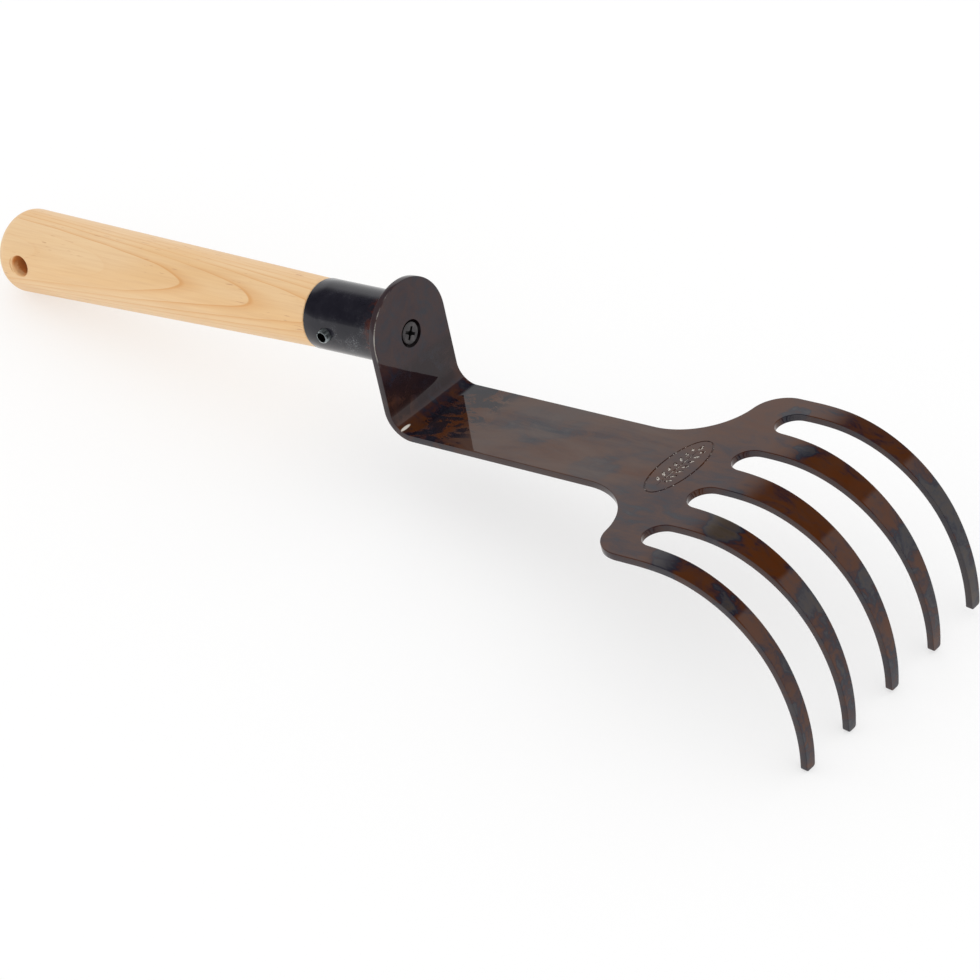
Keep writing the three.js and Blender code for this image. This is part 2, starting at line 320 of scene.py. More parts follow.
# Growth rings: nearly flat layers that climb slowly through the taper, so they break out as nested tongues.
ring_side = Vector((0, -0.8387, 0.5446))
ring_across = Vector((0, 0.5446, 0.8387))
ring_bow = 0.060
ring_climb = 0.0158
ring_step = 0.00175
ring_start = 0.01743
ring_wander = 0.0011
ring_drift = 0.0012
pale_maple = (0.795, 0.512, 0.250, 1)
warm_maple = (0.828, 0.580, 0.328, 1)
late_wood = (0.70, 0.345, 0.115, 1)
fibre_brown = (0.62, 0.34, 0.17, 1)
fleck_red = (0.52, 0.24, 0.12, 1)
hole_wall_and_shade = (0.60, 0.225, 0.052, 1)
lit_torn_wood = (0.86, 0.56, 0.28, 1)
wander = stretched_noise(wood, (16, 60, 60), (0.7, 0.2, 0.1), 2.0, 0.45)
drift = stretched_noise(wood, (6, 22, 22), (3.1, 0.4, 0.9), 1.0, 0.5)
into = measure(wood, "DOT_PRODUCT", at, tuple(ring_side))
across = measure(wood, "DOT_PRODUCT", at, tuple(ring_across))
lengthwise = axis_of(wood, at, "X")
bow = product(wood, product(wood, across, across), 1 / (2 * ring_bow))
layer = sums(wood, "ADD", into, bow)
layer = scaled(wood, lengthwise, -ring_climb, layer)
layer = scaled(wood, sums(wood, "SUBTRACT", wander, 0.5), ring_wander, layer)
layer = scaled(wood, sums(wood, "SUBTRACT", drift, 0.5), ring_drift, layer)
ring = sums(wood, "FRACT", product(wood, sums(wood, "SUBTRACT", layer, ring_start), 1 / ring_step))
glow = product(wood, fade(wood, ring, 0.50, 0.98), fade(wood, ring, 1.0, 0.97))
line = product(wood, fade(wood, ring, 0.88, 0.96), fade(wood, ring, 1.0, 0.965))
patchy = fade(wood, stretched_noise(wood, (9, 50, 50), (0.3, 2.2, 4.0)), 0.33, 0.66)
calm = scaled(wood, fade(wood, layer, 0.0203, 0.0195), 0.85, 0.15)
calm = product(wood, calm, scaled(wood, fade(wood, into, 0.002, 0.012), 0.65, 0.35))
late = product(wood, scaled(wood, line, 0.5, product(wood, glow, 0.5)),
               product(wood, calm, scaled(wood, patchy, 0.7, 0.3)))
fibre = stretched_noise(wood, (30, 900, 900), (0, 0, 0), 3.0, 0.6)
broad = stretched_noise(wood, (10, 70, 70), (7.0, 1.5, 0.2), 2.0, 0.5)
pale = blend(wood, fade(wood, broad, 0.3, 0.7), pale_maple, warm_maple)
tan = blend(wood, product(wood, late, 0.90), pale, late_wood)
tan = blend(wood, product(wood, fade(wood, fibre, 0.35, 0.8), 0.24), tan, fibre_brown)
# Short reddish ray flecks, a few millimetres long.
fleck_field = stretched_noise(wood, (120, 1500, 1500), (2.0, 0.0, 0.0), 1.0, 0.4)
fleck_zone = fade(wood, stretched_noise(wood, (25, 90, 90), (1.0, 6.0, 3.0), 1.0), 0.42, 0.62)
fleck = product(wood, fade(wood, fleck_field, 0.67, 0.77), fleck_zone)
tan = blend(wood, product(wood, fleck, 0.70), tan, fleck_red)
# The drilled hole's wall is scorched a little and drinks the lacquer, and painted shade is added inside the
# hole and on the edge of its mouth, so it is much darker.
from_hole = vector_sum(wood, "SUBTRACT", at, (hole_at, 0, 0))
off_axis = measure(wood, "LENGTH", vector_sum(wood, "CROSS_PRODUCT", from_hole, tuple(hole_direction)))
in_hole = fade(wood, off_axis, hole_radius + 0.0008, hole_radius + 0.0001)
tan = blend(wood, product(wood, in_hole, 0.9), tan, hole_wall_and_shade)
# Painted light on the mouth's lower side towards the butt, where the wall faces up, with a ragged edge like
# torn pale fibres.
towards_lit_side = (-0.55, 0, -0.83)
mouth_depth = measure(wood, "DOT_PRODUCT", from_hole, tuple(hole_direction))
lower_side = measure(wood, "DOT_PRODUCT", from_hole, towards_lit_side)
torn = stretched_noise(wood, (300, 500, 900), (0.5, 0.5, 0.0), 3.0, 0.6, 0.8)
torn_edge = scaled(wood, torn, 0.004, mouth_depth)
lit_torn_fibre = product(wood, fade(wood, torn_edge, 0.0168, 0.0184), fade(wood, lower_side, -0.0010, 0.0022))
tan = blend(wood, product(wood, in_hole, lit_torn_fibre, 0.85), tan, lit_torn_wood)
link(wood, tan, wood_shader, "Base Color")
link(wood, scaled(wood, fibre, 0.16, 0.36), wood_shader, "Roughness")
wood_shader.inputs["Specular IOR Level"].default_value = 0.42
grain_bump = node_in(wood, "ShaderNodeBump", Strength=0.12, Distance=0.0002,
                     Height=scaled(wood, late, 0.5, fibre))
link(wood, grain_bump.outputs[0], wood_shader, "Normal")
handle.data.materials.clear()
handle.data.materials.append(wood)
into_place(handle, "handle")


# ---- Ferrule ----
# A length of steel tube, cut square and welded to the flange, that holds the handle's tenon. It is blackened
# and lacquered, a little scuffed, with a hole drilled through one side for the pin.

ferrule_radius = 0.015875
ferrule_bore = 0.014225
ferrule_end = -0.0035
pin_at = -0.0365
pin_radius = 0.003
pin_direction = Vector((0, -1, 0))
lacquer_black = (0.011, 0.0105, 0.016, 1)
lacquer_blue = (0.019, 0.018, 0.025, 1)
heat_brown = (0.075, 0.020, 0.013, 1)
scuff_grey = (0.24, 0.25, 0.26, 1)
scuff_at = (-0.0225, -0.0150, 0.0005)

tube_profile = [
    (ferrule_rim + 0.0003, ferrule_bore),
    (ferrule_rim, ferrule_bore + 0.0003),
    (ferrule_rim, ferrule_radius - 0.0004),
    (ferrule_rim + 0.00006, ferrule_radius - 0.0002),
    (ferrule_rim + 0.0002, ferrule_radius - 0.00006),
    (ferrule_rim + 0.0004, ferrule_radius),
    (pin_at - 0.006, ferrule_radius),
    (pin_at, ferrule_radius),
    (pin_at + 0.006, ferrule_radius),
    (-0.016, ferrule_radius),
    (ferrule_end, ferrule_radius),
    (ferrule_end, ferrule_bore),
    (ferrule_rim + 0.0003, ferrule_bore),
]
ferrule = make_piece("ferrule_tube", turn_on_lathe(tube_profile, turned_steps))

pin_drill = turn_on_lathe([
    (0.005, 0), (0.005, pin_radius + 0.0001), (ferrule_radius - 0.0006, pin_radius + 0.0001),
    (ferrule_radius - 0.0002, pin_radius + 0.0002), (ferrule_radius + 0.0001, pin_radius + 0.0005),
    (0.025, pin_radius + 0.0006), (0.025, 0)], 40)
bmesh.ops.rotate(pin_drill, verts=pin_drill.verts, cent=(0, 0, 0),
                 matrix=Vector((1, 0, 0)).rotation_difference(pin_direction).to_matrix())
bmesh.ops.translate(pin_drill, verts=pin_drill.verts, vec=(pin_at, 0, 0))
carve(ferrule, make_piece("pin_drill", pin_drill))
resharpen(ferrule)

tube, tube_shader = new_material("black_lacquered_tube")
at = tool_coordinates(tube)
cloud = grain_noise(tube, at, 120, 4.0, 0.6)
drawn = stretched_noise(tube, (60, 900, 900), (0, 0, 0), 3.0, 0.6)
scuff_line = stretched_noise(tube, (900, 700, 1100), (0, 0, 0), 5.0, 0.8, 2.2)
lengthwise = axis_of(tube, at, "X")
scuff_spot = measure(tube, "DISTANCE", at, scuff_at)
scuffed_there = product(tube, fade(tube, scuff_spot, 0.0150, 0.003), fade(tube, cloud, 0.40, 0.58))
scuffed_about = product(tube, fade(tube, cloud, 0.52, 0.70), 0.22)
scuffed = product(tube, fade(tube, scuff_line, 0.52, 0.66), sums(tube, "ADD", scuffed_there, scuffed_about))
black = blend(tube, fade(tube, cloud, 0.3, 0.75), lacquer_black, lacquer_blue)
heat = product(tube, fade(tube, lengthwise, -0.0155, -0.0100),
               fade(tube, grain_noise(tube, at, 260, 3.0, 0.6, 0.8), 0.42, 0.62))
black = blend(tube, product(tube, heat, 0.8), black, heat_brown)
black = blend(tube, scuffed, black, scuff_grey)
link(tube, black, tube_shader, "Base Color")
tube_shader.inputs["Metallic"].default_value = 0.0
tube_shader.inputs["Specular IOR Level"].default_value = 0.0
tube_roughness = sums(tube, "ADD", scaled(tube, drawn, 0.22, 0.30), product(tube, scuffed, 0.2))
link(tube, tube_roughness, tube_shader, "Roughness")
tube_shader.inputs["Coat Weight"].default_value = 1.0
tube_shader.inputs["Coat Roughness"].default_value = 0.13
tube_shader.inputs["Coat IOR"].default_value = 1.40
tube_bump = node_in(tube, "ShaderNodeBump", Strength=0.25, Distance=0.0002,
                    Height=scaled(tube, scuffed, -0.5, drawn))
link(tube, tube_bump.outputs[0], tube_shader, "Normal")
ferrule.data.materials.clear()
ferrule.data.materials.append(tube)
into_place(ferrule, "ferrule")


# ---- Weld ----
# One bead run round the joint of tube and flange. It has the ripples of a hand-fed rod, and is heat-tinted
# brown and blue under the lacquer.

weld_leg = 0.0036
weld_inside = ferrule_radius + 0.0001
bead_steps = 10
bead_turned_steps = 300
ripples = 46
ripple_height = 0.00045
lump_height = 0.0006
weld_blue = (0.02, 0.02, 0.026, 1)
weld_brown = (0.12, 0.030, 0.018, 1)
weld_grey = (0.20, 0.15, 0.14, 1)

bead_profile = [(ferrule_end, weld_inside), (ferrule_end - weld_leg, weld_inside)]
for step in range(bead_steps + 1):
    turn = math.pi / 2 * step / bead_steps
    bead_profile.append((ferrule_end - weld_leg * math.cos(turn),
                         weld_inside + 0.0004 + (weld_leg - 0.0004) * math.sin(turn)))
bead_profile.append((ferrule_end, weld_inside))
bead = turn_on_lathe(bead_profile, bead_turned_steps)
for vert in bead.verts:
    x, y, z = vert.co
    radius = math.hypot(y, z)
    rise = max(radius - weld_inside - 0.0002, 0) / weld_leg
    if rise > 0:
        turn = math.atan2(z, y)
        ripple = abs(math.sin(ripples / 2 * turn + 2.6 * rise)) - 0.6
        lump = noise.noise((x * 500, y * 260, z * 260))
        swell = (ripple_height * ripple + lump_height * lump) * min(1.0, 2.5 * rise)
        grown = radius + swell
        off_flange = x < ferrule_end - 1e-6
        vert.co = (x - 0.3 * swell if off_flange else x, y * grown / radius, z * grown / radius)
weld = make_piece("weld_metal", bead, 60)

tinted_weld, weld_shader = new_material("heat_tinted_weld")
at = tool_coordinates(tinted_weld)
tint = grain_noise(tinted_weld, at, 190, 3.0, 0.6, 0.6)
weld_colour = blend(tinted_weld, fade(tinted_weld, tint, 0.38, 0.55), weld_blue, weld_brown)
weld_colour = blend(tinted_weld, fade(tinted_weld, tint, 0.60, 0.74), weld_colour, weld_grey)
link(tinted_weld, weld_colour, weld_shader, "Base Color")
weld_shader.inputs["Metallic"].default_value = 0.4
weld_shader.inputs["Coat Weight"].default_value = 0.9
weld_shader.inputs["Coat Roughness"].default_value = 0.12
link(tinted_weld, scaled(tinted_weld, tint, 0.3, 0.25), weld_shader, "Roughness")
spatter = node_in(tinted_weld, "ShaderNodeBump", Strength=0.5, Distance=0.0003,
                  Height=grain_noise(tinted_weld, at, 900, 3.0, 0.6))
link(tinted_weld, spatter.outputs[0], weld_shader, "Normal")
weld.data.materials.append(tinted_weld)
into_place(weld, "weld_bead")


# ---- Tine head ----
# One blank cut from steel plate: flange, neck, palm and five tines. Its edges are eased, the flange is
# countersunk and the palm stamped while flat, and then it is bent at the neck and the tines are curled.
# It is quenched in oil, which leaves brown and blue temper colours, and lacquered.

plate = 0.0032
neck_half = 0.0234
corner_z = -0.0378
bend_inside = 0.0095
neck_fall = math.radians(0.7)
head_half = 0.066
flare_radius = 0.0316
shoulder_radius = 0.015
shoulder_at = 0.155
tines = 5
pitch = 0.0314
slot_radius = 0.00805
slot_at = 0.1647
curl_start = 0.165
curl = ((0.013, 0.115), (0.070, 0.064), (0.050, 0.0847))
tine_ends = (0.2942, 0.2940, 0.2933, 0.2931, 0.2900)  # from the right, a little uneven
tine_taper = 0.0385
toe_in = 0.0020
tip_radius = 0.0014
flange_rise = 0.001
screw_z = -0.00105
edge_ease = 0.00025
top_steps = 72
flare_steps_across = 40
shoulder_steps = 26
root_steps = 40
tip_steps = 6
bend_cuts = 24
curl_cuts = 72

bend_turn = math.pi / 2 - neck_fall
bend_reach = bend_inside * math.tan(bend_turn / 2)
bend_length = bend_inside * bend_turn
bend_top = corner_z + bend_reach
flange_centre = bend_reach - bend_length + bend_top  # on the blank, where the screw goes

# The blank is drawn flat, once round its outline: X is the distance along the plate's top side from the
# corner of the neck, and Y is across.
blank = bmesh.new()


def pen_at(place):
    """Sets the pen down at a place."""
    return [blank.verts.new((*place, 0))]


def pen_line(pen, place):
    """Draws on to a place in a straight line."""
    drawn = bmesh.ops.extrude_vert_indiv(blank, verts=[pen[-1]])
    drawn["verts"][0].co = (*place, 0)
    pen.append(drawn["verts"][0])


def pen_arc(pen, centre, turn, steps):
    """Draws on round a centre, turning left for a positive angle."""
    drawn = bmesh.ops.spin(blank, geom=[pen[-1]], cent=(*centre, 0), axis=(0, 0, 1), dvec=(0, 0, 0),
                           angle=turn, steps=steps, use_merge=False, use_normal_flip=False,
                           use_duplicate=False)
    pen.append(next(g for g in drawn["geom_last"] if isinstance(g, bmesh.types.BMVert)))


flange_top = flange_centre - flange_rise
pen = pen_at((flange_top, neck_half))
pen_arc(pen, (flange_top, 0), math.pi, top_steps)
flare_y = neck_half + flare_radius
shoulder_y = head_half - shoulder_radius
reach = flare_radius + shoulder_radius
flare_x = shoulder_at - math.sqrt(reach ** 2 - (flare_y - shoulder_y) ** 2)
meet = math.atan2(flare_y - shoulder_y, shoulder_at - flare_x)
pen_line(pen, (flare_x, -neck_half))
pen_arc(pen, (flare_x, -flare_y), -(math.pi / 2 - meet), flare_steps_across)
pen_arc(pen, (shoulder_at, -shoulder_y), math.pi / 2 - meet, shoulder_steps)
pen_line(pen, (curl_start, -head_half))
for index in range(tines):
    centre = (index - (tines - 1) / 2) * pitch
    tine_end = tine_ends[index]
    run = tine_end - slot_at
    half_tip = pitch / 2 - slot_radius - tine_taper * run
    low = -head_half if index == 0 else centre - half_tip
    high = head_half if index == tines - 1 else centre + half_tip
    pen_line(pen, (tine_end - tip_radius, low))
    pen_arc(pen, (tine_end - tip_radius, low + tip_radius), math.pi / 2, tip_steps)
    pen_line(pen, (tine_end, high - tip_radius))
    pen_arc(pen, (tine_end - tip_radius, high - tip_radius), math.pi / 2, tip_steps)
    if index < tines - 1:
        root_y = centre + pitch / 2 - slot_radius
        pen_line(pen, (slot_at, root_y))
        pen_arc(pen, (slot_at, centre + pitch / 2), -math.pi, root_steps)
    else:
        pen_line(pen, (curl_start, head_half))
pen_line(pen, (shoulder_at, head_half))
pen_arc(pen, (shoulder_at, shoulder_y), math.pi / 2 - meet, shoulder_steps)
pen_arc(pen, (flare_x, flare_y), -(math.pi / 2 - meet), flare_steps_across)
pen_line(pen, (flange_top, neck_half))
bmesh.ops.remove_doubles(blank, verts=blank.verts, dist=1e-6)
bmesh.ops.contextual_create(blank, geom=blank.edges[:])
bmesh.ops.recalc_face_normals(blank, faces=blank.faces)
if blank.faces[0].normal.z < 0:
    bmesh.ops.reverse_faces(blank, faces=blank.faces)
thickened = bmesh.ops.extrude_face_region(blank, geom=blank.faces[:], use_keep_orig=True)
under = [g for g in thickened["geom"] if isinstance(g, bmesh.types.BMVert)]
bmesh.ops.translate(blank, verts=under, vec=(0, 0, -plate))
bmesh.ops.recalc_face_normals(blank, faces=blank.faces)

rims = [e for e in blank.edges if len(e.link_faces) == 2
        and sorted(abs(f.normal.z) > 0.5 for f in e.link_faces) == [False, True]]
bmesh.ops.bevel(blank, geom=rims, offset=edge_ease, offset_type="OFFSET", affect="EDGES", segments=3,
                profile=0.5, clamp_overlap=False, material=-1)
flats = [f for f in blank.faces if abs(f.normal.z) > 0.99 and f.calc_area() > 1e-3]
bmesh.ops.inset_region(blank, faces=flats, thickness=0.0004, depth=0, use_even_offset=True)
head = make_piece("tine_head_plate", blank)

# The countersink and the stamp, a sprig of leaves in an oval, are cut while the blank is flat.
sink_radius = 0.0063
screw_clearance = 0.0027
sink = turn_on_lathe([
    (-plate - 0.002, 0), (-plate - 0.002, screw_clearance), (-0.0029, screw_clearance),
    (0, sink_radius), (0.002, sink_radius + 0.0022), (0.002, 0)], 96)
bmesh.ops.rotate(sink, verts=sink.verts, cent=(0, 0, 0), matrix=Matrix.Rotation(-math.pi / 2, 3, "Y"))
bmesh.ops.translate(sink, verts=sink.verts, vec=(flange_centre - screw_z, 0, 0))
carve(head, make_piece("sink", sink))

stamp_at = (0.1387, 0.0005)
stamp_long = 0.0430
stamp_wide = 0.0175
groove_radius = 0.00038
groove_steps = 120
leaf_pairs = 7
leaf_depth = 0.00055
stem_depth = 0.0004
stamp = bmesh.new()
groove = bmesh.ops.create_circle(stamp, cap_ends=False, segments=8, radius=groove_radius)["verts"]
bmesh.ops.rotate(stamp, verts=groove, cent=(0, 0, 0), matrix=Matrix.Rotation(math.pi / 2, 3, "X"))
bmesh.ops.translate(stamp, verts=groove, vec=(1, 0, 0))
groove_edges = [e for e in stamp.edges]
bmesh.ops.spin(stamp, geom=groove + groove_edges, cent=(0, 0, 0), axis=(0, 0, 1), dvec=(0, 0, 0),
               angle=2 * math.pi, steps=groove_steps, use_merge=True, use_normal_flip=False,
               use_duplicate=False)
for vert in stamp.verts:
    turn = math.atan2(vert.co.y, vert.co.x)
    off = math.hypot(vert.co.x, vert.co.y) - 1
    middle = Vector((stamp_wide / 2 * math.cos(turn), stamp_long / 2 * math.sin(turn), 0))
    outward = Vector((math.cos(turn) / stamp_wide, math.sin(turn) / stamp_long, 0)).normalized()
    vert.co = middle + off * outward + Vector((0, 0, vert.co.z))
bmesh.ops.remove_doubles(stamp, verts=stamp.verts, dist=merge_within)


def press_leaf(place, length, width, angle, depth):
    """One almond-shaped dimple of a leaf, pressed into the plate's top side."""
    leaf = bmesh.ops.create_uvsphere(stamp, u_segments=20, v_segments=12, radius=1)["verts"]
    for vert in leaf:
        x, y, z = vert.co
        vert.co = (x * length / 2, y * width / 2 * (1 - 0.75 * x * x) ** 0.5, z * depth)
    bmesh.ops.rotate(stamp, verts=leaf, cent=(0, 0, 0), matrix=Matrix.Rotation(angle, 3, "Z"))
    bmesh.ops.translate(stamp, verts=leaf, vec=(*place, 0))


for pair in range(leaf_pairs):
    reach_along = -0.0132 + 0.0041 * pair
    size = 0.0042 - 0.0002 * pair
    for hand in (-1, 1):
        lean = math.pi / 2 - hand * 0.75
        press_leaf((hand * 0.0026, reach_along + 0.0018), size, 0.0016, lean, leaf_depth)
press_leaf((0, 0.0158), 0.0046, 0.0017, math.pi / 2, leaf_depth)
press_leaf((0, -0.0012), 0.0300, 0.0006, math.pi / 2, stem_depth)
bmesh.ops.recalc_face_normals(stamp, faces=stamp.faces)
bmesh.ops.translate(stamp, verts=stamp.verts, vec=(*stamp_at, 0))
carve(head, make_piece("stamp", stamp))

# Both bends are made by moving every point of the flat blank, so it is first cut across at close steps.
blank = bmesh.new()
blank.from_mesh(head.data)
bmesh.ops.remove_doubles(blank, verts=blank.verts, dist=2 * merge_within)
cuts = [bend_reach - bend_length * step / bend_cuts for step in range(bend_cuts + 1)]
curled_run = tine_ends[-1] - tip_radius - curl_start
cuts += [curl_start + curled_run * step / curl_cuts for step in range(curl_cuts + 1)]
cuts += [tine_ends[0] - tip_radius]
for cut in cuts:
    bmesh.ops.bisect_plane(blank, geom=blank.verts[:] + blank.edges[:] + blank.faces[:], dist=merge_within,
                           plane_co=(cut, 0, 0), plane_no=(1, 0, 0))
for vert in blank.verts:
    along, across_plate, depth = vert.co
    run = max(along - slot_at, 0) / (tine_ends[0] - slot_at)
    if abs(across_plate) > head_half - pitch / 2 - slot_radius:
        across_plate -= math.copysign(toe_in * run ** 2, across_plate)
    if along < bend_reach - bend_length:
        x, z, slope = 0, bend_top + (bend_reach - bend_length - along), math.pi / 2
    elif along < bend_reach:
        slope = neck_fall + (bend_reach - along) / bend_inside
        x = bend_inside - bend_inside * math.sin(slope)
        z = bend_top - bend_inside * math.cos(slope)
    else:
        flat = min(along, curl_start)
        x = flat * math.cos(neck_fall)
        z = corner_z - flat * math.sin(neck_fall)
        slope = neck_fall
        left = max(along - curl_start, 0)
        for length, radius in curl:
            turn = min(left, length) / radius
            if length == curl[-1][0]:
                turn = left / radius
            x += radius * (math.sin(slope + turn) - math.sin(slope))
            z += radius * (math.cos(slope + turn) - math.cos(slope))
            slope += turn
            left -= min(left, length)
    # The top side faces forwards on the flange and up on the neck.
    vert.co = (x + depth * math.sin(slope), across_plate, z + depth * math.cos(slope))
bmesh.ops.recalc_face_normals(blank, faces=blank.faces)
bpy.data.objects.remove(head)
head = make_piece("tine_head_plate", blank)

# Where the quench ran thicker or thinner: place in the tool's frame, reach, the film there, how firmly.
film_patches = (
    ((0.000, 0.000, 0.002), 0.040, 0.46, 0.92), ((0.140, -0.034, -0.040), 0.030, 0.47, 0.75),
    ((0.138, 0.050, -0.040), 0.034, 0.20, 0.60), ((0.062, 0.013, -0.039), 0.026, 0.60, 0.55),
    ((0.085, -0.012, -0.039), 0.020, 0.22, 0.60), ((0.104, -0.014, -0.039), 0.014, 0.74, 0.50),
    ((0.022, -0.012, -0.038), 0.009, 0.10, 0.80), ((0.010, -0.002, -0.034), 0.010, 0.55, 0.60),
    ((0.160, 0.055, -0.040), 0.007, 0.60, 0.80), ((0.182, 0.031, -0.042), 0.007, 0.56, 0.80),
    ((0.184, -0.030, -0.043), 0.012, 0.88, 0.80), ((0.178, -0.062, -0.042), 0.010, 0.62, 0.80),
    ((0.193, -0.062, -0.047), 0.009, 0.18, 0.80), ((0.207, -0.062, -0.056), 0.007, 0.57, 0.90),
    ((0.203, 0.000, -0.055), 0.020, 0.24, 0.85), ((0.203, 0.031, -0.055), 0.018, 0.22, 0.85),
    ((0.203, -0.031, -0.055), 0.010, 0.16, 0.70), ((0.200, 0.062, -0.052), 0.018, 0.32, 0.70),
    ((0.222, -0.031, -0.070), 0.009, 0.56, 0.80), ((0.236, 0.060, -0.100), 0.034, 0.60, 0.75),
    ((0.226, 0.031, -0.076), 0.010, 0.55, 0.80), ((0.226, 0.000, -0.078), 0.009, 0.56, 0.80),
    ((0.246, 0.000, -0.120), 0.020, 0.46, 0.60), ((0.240, -0.060, -0.100), 0.030, 0.38, 0.50),
    ((0.222, 0.061, -0.073), 0.018, 0.58, 0.80), ((0.004, 0.006, -0.033), 0.017, 0.47, 0.80),
    ((0.165, 0.000, -0.040), 0.010, 0.42, 0.50), ((0.120, 0.004, -0.039), 0.016, 0.40, 0.50),
    ((0.016, -0.020, -0.038), 0.008, 0.47, 0.70), ((0.030, -0.016, -0.038), 0.008, 0.48, 0.60))
film_stops = (
    (0.24, (0.062, 0.0180, 0.0050, 1)), (0.34, (0.050, 0.0170, 0.0100, 1)),
    (0.44, (0.026, 0.0105, 0.0140, 1)), (0.50, (0.009, 0.0120, 0.0230, 1)),
    (0.58, (0.026, 0.0270, 0.0340, 1)), (0.80, (0.048, 0.0360, 0.0280, 1)))
thinnest_film = (0.070, 0.017, 0.0030, 1)
thickest_film = (0.030, 0.024, 0.014, 1)
bloom_brown = (0.082, 0.050, 0.038, 1)
flange_dark_reflection = (0.010, 0.0040, 0.0060, 1)
blued_black = (0.007, 0.0065, 0.0120, 1)
cut_grey = (0.050, 0.043, 0.047, 1)
sink_shade_black = (0.004, 0.0025, 0.003, 1)
glint_grey = (0.62, 0.58, 0.52, 1)
glint_at = (0.0045, -0.0205, -0.0362)
glint_stretch = (1500, 300, 800)
stir = 0.016

steel, temper_shader = new_material("oil_quenched_plate")
at = tool_coordinates(steel)
oxide = stretched_noise(steel, (22, 46, 46), (0.4, 0.1, 0.7), 3.0, 0.55, 0.8)
ragged = stretched_noise(steel, (70, 130, 130), (0, 0, 0), 4.0, 0.62, 0.9)
streak = stretched_noise(steel, (35, 260, 260), (0.2, 0.9, 0.3), 3.0, 0.6, 0.5)
film = scaled(steel, sums(steel, "SUBTRACT", oxide, 0.5), 0.55, 0.33)
# The patches' edges are stirred, so that none of them is round.
swirl = node_in(steel, "ShaderNodeTexNoise", Vector=at, Scale=75.0, Detail=3.0, Roughness=0.6)
swirl = vector_sum(steel, "MULTIPLY_ADD", swirl.outputs["Color"], (stir,) * 3, (-stir / 2,) * 3)
stirred = vector_sum(steel, "ADD", at, swirl)
for place, reach_out, wanted, firm in film_patches:
    away = measure(steel, "DISTANCE", stirred, place)
    near = product(steel, fade(steel, away, reach_out, 0.55 * reach_out), firm)
    film = node_in(steel, "ShaderNodeMix", i2=film, i3=wanted, i0=near).outputs[0]
forward = axis_of(steel, at, "X")
blotchy = scaled(steel, fade(steel, forward, 0.165, 0.205), 0.55, 0.34)
by_bend = product(steel, fade(steel, forward, 0.002, 0.010), fade(steel, forward, 0.040, 0.026))
blotchy = scaled(steel, by_bend, 0.60, blotchy)
blotchy = product(steel, sums(steel, "ADD", blotchy, 0.10), fade(steel, forward, -0.003, 0.005))
film = scaled(steel, sums(steel, "SUBTRACT", ragged, 0.5), sums(steel, "ADD", blotchy, 0.06), film)
film = scaled(steel, sums(steel, "SUBTRACT", streak, 0.5), scaled(steel, blotchy, 0.4, 0.06), film)
film = scaled(steel, fade(steel, forward, 0.212, 0.228), 0.07, film)
temper = node_in(steel, "ShaderNodeValToRGB", Fac=film)
stops = temper.color_ramp
stops.elements[0].position = 0.0
stops.elements[0].color = thinnest_film
stops.elements[1].position = 1.0
stops.elements[1].color = thickest_film
for position, colour in film_stops:
    stops.elements.new(position).color = colour
oxide_and_painted_light = temper.outputs["Color"]
# A paler, browner bloom lies over the neck and thinly over the flange. The flange's lower end carries a
# painted dark reflection.
bloom = fade(steel, stretched_noise(steel, (18, 60, 60), (0.6, 0.2, 0.5), 4.0, 0.6, 0.7), 0.25, 0.65)
on_neck = product(steel, fade(steel, forward, 0.022, 0.032), fade(steel, forward, 0.150, 0.105))
bloom = product(steel, bloom, scaled(steel, on_neck, 0.60, 0.14))
oxide_and_painted_light = blend(steel, bloom, oxide_and_painted_light, bloom_brown)
upward = axis_of(steel, at, "Z")
swirled_noise = stretched_noise(steel, (110, 170, 170), (0.3, 0.3, 0.1), 3.0, 0.6, 1.6)
# Painted reflection: the flange's lower end is painted near black in ragged patches.
flange_reflection = product(steel, fade(steel, forward, 0.0030, 0.0010), fade(steel, upward, -0.010, -0.016))
flange_reflection = product(steel, flange_reflection, fade(steel, ragged, 0.70, 0.45))
oxide_and_painted_light = blend(steel, product(steel, flange_reflection, 0.75), oxide_and_painted_light, flange_dark_reflection)
blued = product(steel, fade(steel, forward, 0.003, 0.010), fade(steel, forward, 0.038, 0.029))
blued = product(steel, blued, fade(steel, scaled(steel, swirled_noise, 0.5, ragged), 0.70, 0.80))
oxide_and_painted_light = blend(steel, product(steel, blued, 0.85), oxide_and_painted_light, blued_black)
# The cut sides are greyer than the rolled faces.
normal = node_in(steel, "ShaderNodeNewGeometry").outputs["Normal"]
facing = node_in(steel, "ShaderNodeSeparateXYZ", Vector=normal).outputs
off_front = fade(steel, sums(steel, "ABSOLUTE", facing["X"], 0), 0.75, 0.40)
sideways = fade(steel, sums(steel, "ABSOLUTE", facing["Y"], 0), 0.60, 0.90)
cut_side = product(steel, off_front, fade(steel, forward, 0.004, 0.001))
cut_side = sums(steel, "MAXIMUM", cut_side, sideways)
oxide_and_painted_light = blend(steel, product(steel, cut_side, scaled(steel, ragged, 0.8, 0.15)),
                     oxide_and_painted_light, cut_grey)
# Painted shade: the countersink's cone is painted near black and loses most of its coat, as if in shadow.
sink_axis = measure(steel, "DISTANCE", at, (0, 0, screw_z))
sink_shaded = fade(steel, sink_axis, sink_radius + 0.00012, sink_radius - 0.0001)
oxide_and_painted_light = blend(steel, sink_shaded, oxide_and_painted_light, sink_shade_black)
